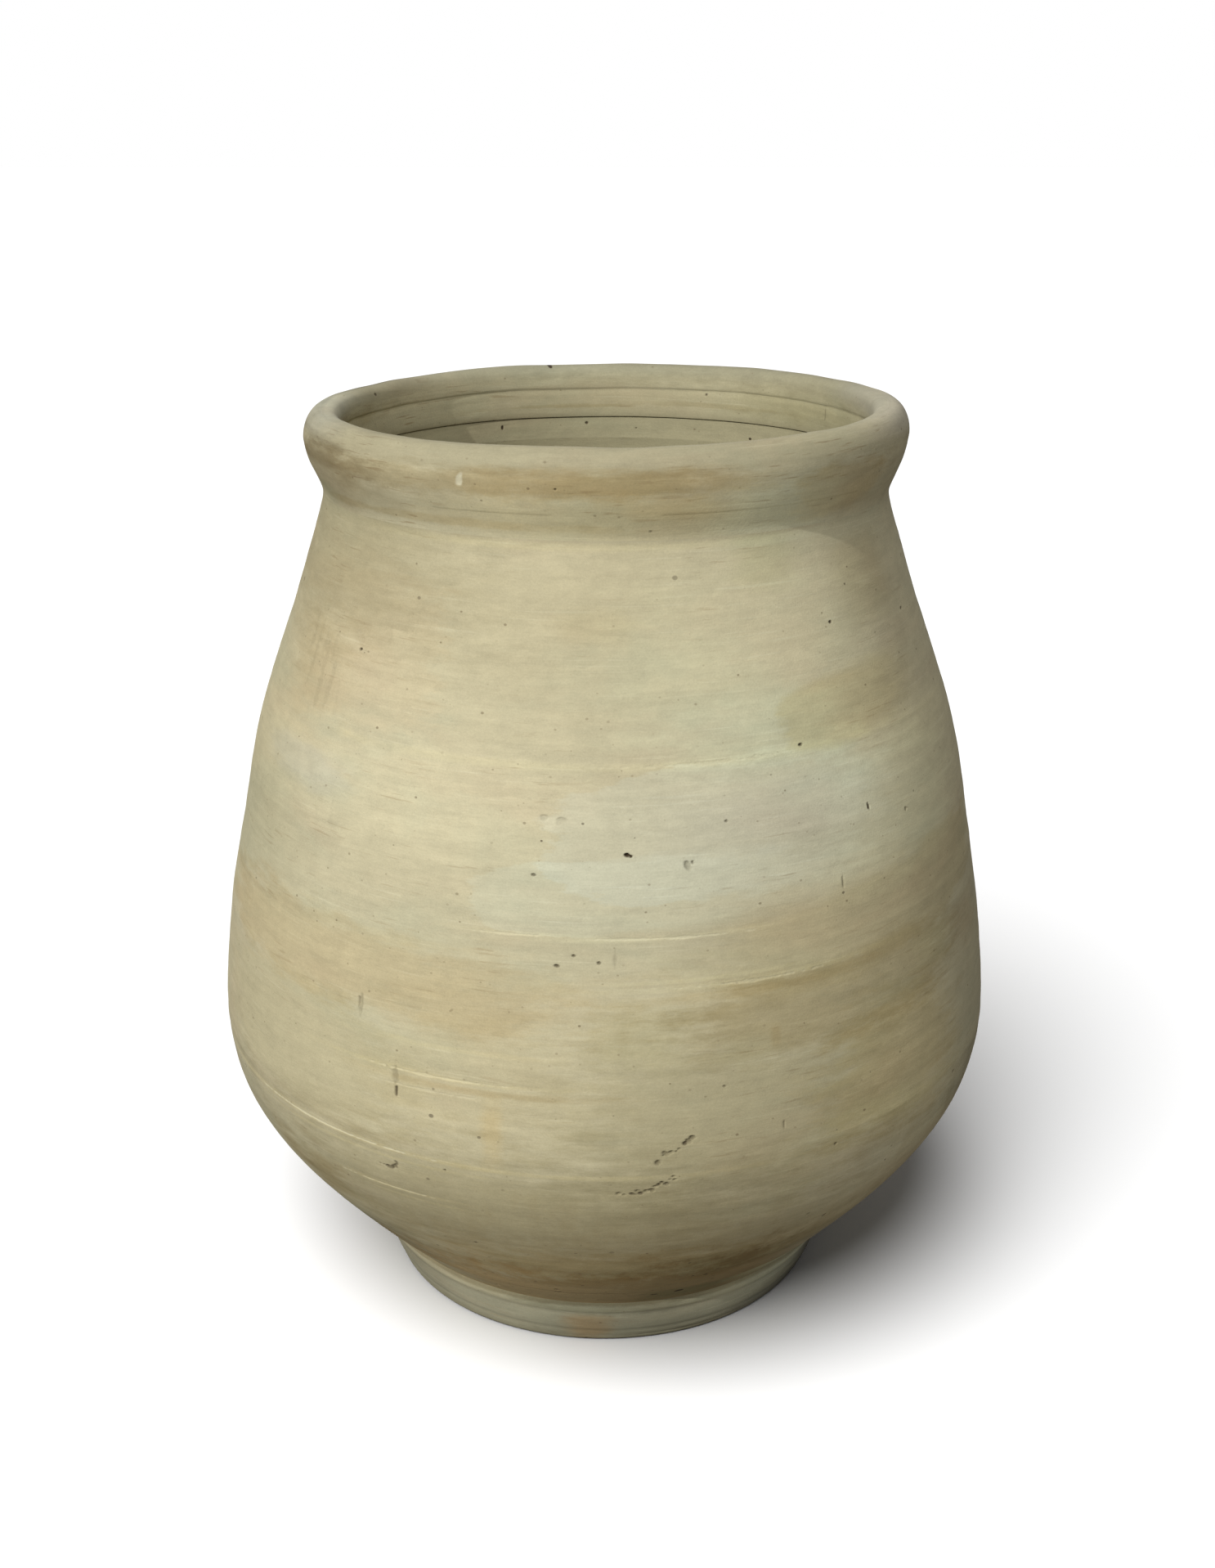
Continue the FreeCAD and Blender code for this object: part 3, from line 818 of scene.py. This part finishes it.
# Knocks, pits and grooves, given as the slab's marks are
knocks = [
    (-45, 546, 1.8, 1.1, 10, 1.2, 0.9, 0.4), (42, 566, 1.4, 1.2, 0, 1.0, 0.9, 0.4),
    (31, 495.6, 2.0, 1.3, 5, 1.2, 0.9, 0.4), (3.2, 438.7, 2.2, 1.6, -12, 2.2, 1.2, 0.4),
    (3.7, 437.9, 1.3, 1.1, 0, 2.0, 1.2, 0.3), (11.6, 430, 2.6, 4.2, 28, 1.2, 0.36, 0.6),
    (12.3, 432, 1.0, 1.6, 20, 1.5, 0.6, 0.4), (41.9, 446.6, 1.0, 3.2, 4, 1.6, 1.1, 0.3),
    (50.3, 435, 1.0, 1.6, 0, 1.2, 0.7, 0.3), (-5.6, 460, 4.5, 2.6, 0, 0.5, 0.2, 0.8),
    (-8.4, 461, 2.4, 1.8, 0, 0.5, 0.2, 0.7), (17.5, 456, 1.4, 1.2, 0, 0.8, 0.7, 0.4),
    (35.5, 402, 1.1, 5.0, 0, 0.7, 0.34, 0.4), (-9.6, 425, 1.5, 0.9, 0, 0.9, 0.7, 0.6),
    (-6.2, 367, 2.4, 1.4, 0, 1.2, 0.8, 0.5), (-4.0, 374, 1.4, 1.1, 0, 1.0, 0.8, 0.4),
    (-0.6, 369.5, 1.4, 1.3, 0, 1.0, 0.75, 0.4), (1.5, 371, 1.2, 7.0, 0, 0.4, 0.2, 0.6),
    (-34.3, 319, 2.0, 9.0, -3, 0.9, 0.25, 0.5), (-34.7, 321, 0.8, 5.0, -3, 1.2, 0.5, 0.5),
    (-28.0, 266, 1.0, 4.4, 0, 1.4, 0.8, 0.6), (-28.2, 277, 2.6, 7.0, 0, 0.4, 0.25, 0.6),
    (23.8, 247, 0.7, 3.5, 0, 0.6, 0.5, 0.3), (15.6, 282, 1.1, 1.0, 0, 0.8, 0.7, 0.4),
    (58.8, 223, 2.2, 1.5, 0, 1.0, 0.8, 0.4), (31.9, 221, 1.2, 1.4, 0, 0.8, 0.6, 0.4),
    (-21, 215, 1.3, 1.2, 0, 1.0, 0.8, 0.4), (-19.4, 142, 1.4, 1.6, 0, 0.9, 0.7, 0.4),
    (-9.4, 72, 2.2, 1.3, 0, 1.0, 0.9, 0.5), (18.8, 90, 1.8, 1.5, 0, 1.0, 0.9, 0.4),
    (35.4, 143, 1.8, 1.8, 0, 1.2, 0.85, 0.4), (41, 96, 1.8, 1.4, 0, 1.0, 0.8, 0.4),
    (14, 492.5, 75, 1.2, 0, 0.25, -0.12, 1.2), (7, 384.6, 62, 1.1, -0.5, 0.3, -0.25, 1.0),
    (-12, 386, 30, 0.9, 0.8, 0.3, -0.2, 1.0), (19, 351, 66, 1.2, -0.5, 0.3, -0.2, 1.1),
    (-42, 221, 90, 1.0, 0, 0.3, -0.5, 1.0), (-30, 187, 40, 1.0, 0.5, 0.3, -0.25, 1.1),
    (-22, 283, 55, 1.0, 0.7, 0.3, -0.2, 1.2), (-24, 272, 40, 0.9, 0.5, 0.25, -0.15, 1.3),
    (-60.5, 545, 3.0, 15, 3, 0.1, 0.08, 1.2), (-58.2, 532, 2.4, 20, -2, 0.1, 0.09, 1.2),
    (-55.6, 541, 2.2, 13, 2, 0.1, 0.07, 1.2), (-54.1, 521, 2.8, 22, 4, 0.1, 0.1, 1.2),
    (-52.4, 545, 2.2, 10, 0, 0.1, 0.06, 1.2), (-51.0, 517, 2.4, 16, -3, 0.1, 0.09, 1.2),
    (-48.2, 511, 2.6, 11, 2, 0.1, 0.07, 1.2), (-45.0, 553, 2.0, 9, 0, 0.1, 0.06, 1.2),
    (-38.6, 561, 2.0, 7, 4, 0.1, 0.06, 1.2), (-44.0, 440, 2.0, 6, 0, 0.1, 0.06, 1.2),
]
chance = random.Random(11)


def crack(start, end, count):
    """A broken line of small holes between two places, where a root or a pebble burnt out."""
    for step in range(count):
        share = (step + chance.uniform(-0.3, 0.3)) / count
        size = chance.uniform(0.7, 2.2)
        level = between(start[1], end[1], share) + chance.uniform(-1.6, 1.6)
        knocks.append((between(start[0], end[0], share), level, size * chance.uniform(0.9, 1.7), size,
                       chance.uniform(-40, 40), 1.2, chance.uniform(0.25, 0.85), 0.8))


crack((11.2, 247), (6.4, 233), 9)
crack((9.2, 220), (5.6, 210), 8)
crack((5.6, 210), (1.2, 208), 6)
crack((-31, 206), (-28.7, 207), 5)
crack((-28.7, 206), (-28.4, 213), 3)
crack((132, 300), (126, 284), 9)
crack((-128, 236), (-120, 229), 8)
for _ in range(90):
    size = chance.uniform(0.8, 2.0)
    knocks.append((chance.uniform(62, 298), chance.uniform(70, 615), size * chance.uniform(0.8, 1.6), size,
                   chance.uniform(-40, 40), 1.2, chance.uniform(0.4, 1.0), 0.4))
for _ in range(14):
    knocks.append((chance.uniform(70, 290), chance.uniform(150, 610), chance.uniform(25, 90), 1.0,
                   chance.uniform(-0.8, 0.8), 0.3, chance.uniform(-0.3, -0.1), 1.3))


for node, (bottom, top) in wall_levels.items():
    outer = outer_face(bottom, top)
    inner = inner_face(top, bottom)
    section = outer + lute(outer[-1], inner[0], -lute_depth) + inner + lute(inner[-1], outer[0], -lute_depth)
    body_clay = mix_body_clay(node, bottom - lute_depth, top)
    press(thrown(node, section, body_clay), knocks)

# Neck collar and rim roll
# A short flared collar, then a thick coil rolled over it and smoothed into a round lip with a wet leather.
# Inside, the roll ends in a small step over the collar, part filled with slip, and fine ledges run round it.

lip_thickness = 26 * mm
lip_step = 3 * mm
crest_radius = lip_radius - lip_thickness / 2
lip_inside = lip_radius - lip_thickness
lip_inside_level = jar_top - lip_thickness / 2
round_steps = 14
# Painted shade on the inside of the neck: slight under the lip, darker further down
mouth_painted_shade = paint(0.94, 0.95, 0.93)
collar_painted_shade = paint(0.67, 0.67, 0.63)
painted_shade_levels = (672 * mm, 644 * mm)
# Painted light inside on the left, where the rim's shadow falls
painted_light_inside_left = ((1.5, 1.46, 1.47), -108, 660, 36, 36, 0.6, 0.4)


def mix_neck_clay():
    clay, tree, skin = clay_material("neck_clay")
    wiped = use(tree, wheel_clay, {"Seed": 3.0, "Radial lean": -0.6, "Brown share": 0.8})
    color = lay_patches(tree, wiped["Color"], wiped["Torn"], (
        # Partly its own grey tone, partly painted shade: the rim's top darkened all round
        ((0.8, 0.79, 0.77), 0, 684, 170, 13, 0.3, 0.5),
        ((0.85, 0.78, 0.67), 1, 667, 22, 8, 0.6, 0.8),
        ((0.91, 0.87, 0.8), -24, 666, 62, 7, 0.6, 1.6),
        # Partly brown, partly painted shade on the collar's right, where the lip's shadow falls
        ((0.95, 0.89, 0.81), 48, 652, 12, 18, 0.25, 0.7),
        ((0.95, 0.94, 0.92), 170, 664, 80, 8, 0.5, 2.0),
        # These two: painted shade on the left of the collar and lip, where the lip's shadow falls
        ((0.75, 0.73, 0.7), -68, 652, 22, 26, 0.6, 0.9),
        ((0.78, 0.76, 0.73), -64, 666, 15, 10, 0.6, 1.2),
        ((0.88, 0.87, 0.85), -31, 662, 6, 8, 0.7, 1.2),
        # Painted light on the collar's front, which faces down: light from below
        ((1.09, 1.07, 1.0), 6, 643, 30, 14, 0.6, 0.8),
        ((1.17, 1.27, 1.36), 33, 646, 13, 19, 0.6, 0.9),
        # These two: painted shade on the left of the collar
        ((0.9, 0.86, 0.8), -54, 657, 5, 11, 0.7, 0.8),
        ((0.88, 0.91, 0.89), -67, 638, 7, 6, 0.7, 0.6),
        ((1.0, 0.95, 0.88), 12, 650, 10, 7, 0.7, 0.8),
        ((1.1, 1.1, 1.08), 54, 649, 6, 7, 0.7, 0.8),
        ((0.92, 0.88, 0.81), -34, 637, 30, 2.4, 0.6, 2.0),
        ((0.76, 0.78, 0.82), 180, 690, 70, 9, 0.5, 0.4),
        # Painted light: a cool sky tint on the crest
        ((1.0, 1.05, 1.2), -82, 685, 22, 9, 0.5, 0.4),
        ((0.68, 0.67, 0.66), -119, 688, 14, 9, 0.6, 0.4),
        ((0.94, 0.95, 0.96), -15, 683, 32, 8, 0.7, 0.4),
        ((0.87, 0.87, 0.81), 124, 662, 18, 12, 0.7, 0.6),
        # Painted light: a cool sky tint on the crest
        ((1.06, 1.08, 1.25), 85, 685, 24, 9, 0.6, 0.4),
        ((0.88, 0.85, 0.78), -166, 655.5, 14, 1.2, 0.6, 1.5),
        ((0.9, 0.88, 0.84), 150, 658, 18, 1.6, 0.6, 1.8),
    ))
    # Painted shade on the inside, then painted light inside on the left
    inside_painted_light_and_shade = blend(tree, rise(tree, here(tree)[2], *painted_shade_levels), mouth_painted_shade, collar_painted_shade)
    inside_painted_light_and_shade = lay_patches(tree, inside_painted_light_and_shade, wiped["Torn"], (painted_light_inside_left,))
    color = paint_inside_shade(tree, color, inside_painted_light_and_shade)
    finish_clay(tree, skin, color, wiped["Height"])
    return clay


neck_clay = mix_neck_clay()
throat = (inside_radius(neck_level), neck_level, 0.0)
mouth = (lip_inside + lip_step, collar_top, 0.0)
collar_outer = outer_face(neck_level, collar_top)
# Slip smeared up under the lip fills part of the step
step_fill = 1.4 * mm
fill_start_share = 0.03
collar_rows = 12
collar_inner = [mouth]
for share in np.linspace(fill_start_share, 1.0, collar_rows):
    radius = between(mouth[0], throat[0], share) - step_fill * (1 - share)
    collar_inner.append((radius, between(collar_top, neck_level, share), 0.0))
collar_section = collar_outer + lute(collar_outer[-1], mouth, -lute_depth) + collar_inner
collar_section += lute(throat, collar_outer[0], -lute_depth)
# Marks as on the slab
collar_marks = [(-154.3, 640, 1.2, 2.0, 0, 0.8, 1.1, 0.3), (-175.6, 641, 1.4, 1.3, 0, 0.8, 0.9, 0.4),
                (142.5, 634, 1.4, 1.2, 0, 0.8, 1.1, 0.3), (172.2, 637, 1.0, 1.0, 0, 0.6, 0.7, 0.4)]
press(thrown("neck_collar", collar_section, neck_clay), collar_marks, inside=True)

rim_section = outer_face(collar_top, lip_level)
lip_out = rim_section[-1][0]
for turn in np.linspace(0.0, math.pi / 2, round_steps)[1:]:
    rim_section.append((crest_radius + (lip_out - crest_radius) * math.cos(turn),
                        lip_level + (jar_top - lip_level) * math.sin(turn), 1.0))
# The inner round is squarer than a circle, as a flat crest with a tight inner edge
inner_round_power = 2 / 3
for turn in np.linspace(math.pi / 2, 0.0, round_steps)[1:]:
    inward = max(math.cos(turn), 0.0) ** inner_round_power
    upward = max(math.sin(turn), 0.0) ** inner_round_power
    rim_section.append((crest_radius - (crest_radius - lip_inside) * inward,
                        lip_inside_level + (jar_top - lip_inside_level) * upward, 0.0))
# Under the lip's inner round, in millimetres: how far it stands back from the lip, and how far down
undercut = ((0.0, 3.6), (0.3, 4.8), (0.8, 5.6), (0.9, 6.4), (0.7, 8.0), (0.6, 12.0), (0.7, 14.0), (0.5, 16.0),
            (0.5, 20.0), (0.3, 24.0), (0.4, 27.2), (0.7, 28.3))
for back, down in undercut:
    rim_section.append((lip_inside + back * mm, lip_inside_level - down * mm, 0.0))
rim_section += [mouth] + lute(mouth, collar_outer[-1], -lute_depth)
lip_marks = [(-24.8, 667, 2.6, 5.2, -12, 0.4, -0.75, 0.5), (-8, 664, 1.0, 0.9, 0, 0.8, 0.7, 0.4)]
mouth_marks = [(-167, 687.5, 1.8, 1.4, 0, 0.4, 1.1, 0.3), (-113.8, 681, 1.7, 1.4, 0, 0.6, 0.7, 0.4),
               (154.5, 667, 1.5, 1.0, 0, 0.6, 0.8, 0.4), (118, 664, 0.9, 6.0, 0, 0.3, 0.35, 0.8)]
rim_roll = thrown("rim_roll", rim_section, neck_clay)
press(rim_roll, lip_marks)
press(rim_roll, mouth_marks, inside=True)

# Foot ring
# A ring thrown by itself and luted under the slab when both were leather hard, then trimmed with
# a wooden rib, which left two ledges round it. The lower edge is worn round by the floor.

# Down the outer side, in millimetres: how far it is short of the crease's radius, and how high
foot_side = ((0.0, 43.0), (-0.5, 41.5), (-0.6, 39.5), (-0.2, 37.0), (0.4, 35.0), (1.4, 33.3), (2.4, 31.9),
             (3.1, 29.4), (5.2, 22.0), (7.2, 15.6), (8.2, 13.4), (9.3, 11.9), (9.8, 10.0), (10.8, 7.0))
foot_edge = 5 * mm
foot_edge_swell = 0.8 * mm
foot_edge_steps = 6
foot_taper = 13 * mm
foot_stand = 25 * mm
foot_inside_levels = (15 * mm, 30 * mm)


def mix_foot_clay():
    clay, tree, skin = clay_material("foot_clay")
    # The foot's clay is darker than the wall's: partly its own tone, partly painted shade under the belly
    wiped = use(tree, wheel_clay, {"Seed": 7.0, "Radial lean": 0.3, "Clay": paint(0.4, 0.38, 0.26)})
    color = lay_patches(tree, wiped["Color"], wiped["Torn"], (
        # Partly a dark line at the crease, partly painted shade under the belly
        ((0.66, 0.62, 0.54), 0, 43, 200, 3.5, 0.5, 0.8),
        ((1.1, 1.1, 1.06), 0, 36, 200, 3.0, 0.7, 0.5),
        ((1.06, 0.86, 0.7), -4, 14, 5, 14, 0.7, 0.9),
        # Painted shade: darker towards the floor all round
        ((0.78, 0.76, 0.73), 0, 0, 200, 8, 0.6, 0.8),
        # These two: painted shade on the foot's front under the belly, with a dark line at the crease
        ((0.58, 0.58, 0.57), 2, 40, 18, 8, 0.7, 0.8),
        ((0.72, 0.72, 0.71), 6, 14, 17, 16, 0.7, 0.8),
        # These two: painted shade on the right, near the floor
        ((0.5, 0.5, 0.52), 74, 10, 19, 16, 0.8, 0.6),
        ((0.66, 0.67, 0.71), 47, 8, 12, 9, 0.7, 0.8),
        ((1.12, 1.16, 1.22), 48, 36, 10, 9, 0.7, 0.8),
        ((0.86, 0.86, 0.86), -13, 10, 10, 8, 0.7, 0.8),
        ((0.84, 0.84, 0.84), -56, 26, 10, 12, 0.8, 0.6),
        ((1.14, 1.16, 1.18), 32, 26, 9, 16, 0.7, 0.8),
        # Painted shade on the right, near the floor
        ((0.74, 0.74, 0.8), 66, 17, 8, 14, 0.7, 0.6),
    ))
    finish_clay(tree, skin, color, wiped["Height"])
    return clay


foot_clay = mix_foot_clay()
foot_section = [(crease_radius - back * mm, level * mm, 1.0) for back, level in foot_side]
foot_out = crease_radius - foot_taper
foot_in = foot_out - foot_stand
edge_turns = np.linspace(0.0, math.pi / 2, foot_edge_steps)
for turn in edge_turns:
    foot_section.append((foot_out - foot_edge * (1 - math.cos(turn)) + foot_edge_swell * math.cos(turn),
                         foot_edge * (1 - math.sin(turn)), 0.7))
for turn in edge_turns[::-1]:
    foot_section.append((foot_in + foot_edge * (1 - math.cos(turn)), foot_edge * (1 - math.sin(turn)), 0.5))
foot_section += [(ring_inside[0], level, 0.5) for level in foot_inside_levels] + [ring_inside]
foot_section += lute(ring_inside, foot_section[0], lute_depth)
thrown("foot_ring", foot_section[::-1], foot_clay)

# Studio
# A white floor that runs to the horizon, a low sun from the left, and broad soft lights from the front
# and from behind. The floor has a soft light of its own.
# The camera stands where the photograph was taken from.

floor_size = 60.0
floor_mesh = bpy.data.meshes.new("floor")
half = floor_size / 2
floor_corners = [(-half, -half, 0), (half, -half, 0), (half, half, 0), (-half, half, 0)]
floor_mesh.from_pydata(floor_corners, [], [(0, 1, 2, 3)])
floor = bpy.data.objects.new("floor", floor_mesh)
bpy.context.collection.objects.link(floor)
floor_paint = bpy.data.materials.new("floor")
floor_paint.use_nodes = True
floor_tree = floor_paint.node_tree
floor_skin = floor_tree.nodes["Principled BSDF"]
floor_skin.inputs["Roughness"].default_value = 1.0
floor_skin.inputs["Specular IOR Level"].default_value = 0.0
seen = floor_tree.nodes.new("ShaderNodeLightPath").outputs["Is Camera Ray"]
floor_color = blend(floor_tree, seen, paint(0.17, 0.16, 0.145), paint(0.95, 0.95, 0.95))
floor_tree.links.new(floor_color, floor_skin.inputs["Base Color"])
floor_mesh.materials.append(floor_paint)

ambient = 0.1
world = bpy.data.worlds.new("studio")
world.use_nodes = True
world_tree = world.node_tree
seen = world_tree.nodes.new("ShaderNodeLightPath").outputs["Is Camera Ray"]
sky_color = blend(world_tree, seen, paint(ambient, ambient, ambient), paint(1.0, 1.0, 1.0))
world_tree.links.new(sky_color, world_tree.nodes["Background"].inputs["Color"])
bpy.context.scene.world = world

jar_only = bpy.data.collections.new("jar_only")
for piece in jar_pieces:
    jar_only.objects.link(piece)
floor_only = bpy.data.collections.new("floor_only")
floor_only.objects.link(floor)


def lamp(name, azimuth, height, size, strength, lights):
    """A far lamp, by its angle from the front, its height and its size in degrees.
    At strength 1 it lights a colour that faces it as it is written."""
    azimuth = math.radians(azimuth)
    height = math.radians(height)
    level = math.cos(height)
    toward = Vector((level * math.sin(azimuth), -level * math.cos(azimuth), math.sin(height)))
    made = bpy.data.objects.new(name, bpy.data.lights.new(name, "SUN"))
    made.data.energy = strength * math.pi
    made.data.angle = math.radians(size)
    made.rotation_euler = toward.to_track_quat("Z", "Y").to_euler()
    made.light_linking.receiver_collection = lights
    bpy.context.collection.objects.link(made)


lamp("key", -44, 33, 0.8, 0.6, jar_only)
lamp("front_fill", -6, 45, 60, 0.53, jar_only)
lamp("back_fill", 180, 20, 60, 0.35, jar_only)
lamp("floor_light", -28, 56, 41, 1.31, floor_only)

image_height = 1917
focal_pixels = 2286.8
camera_place = (0.0025, -1.3757, 0.8874)
camera_dip = math.radians(19.85)
camera = bpy.data.objects.new("camera", bpy.data.cameras.new("camera"))
camera.data.sensor_fit = "VERTICAL"
camera.data.sensor_height = 36.0
camera.data.lens = camera.data.sensor_height * focal_pixels / image_height
camera.location = camera_place
camera.rotation_euler = (math.pi / 2 - camera_dip, 0, 0)
bpy.context.collection.objects.link(camera)
bpy.context.scene.camera = camera
bpy.context.scene.view_settings.view_transform = "Standard"
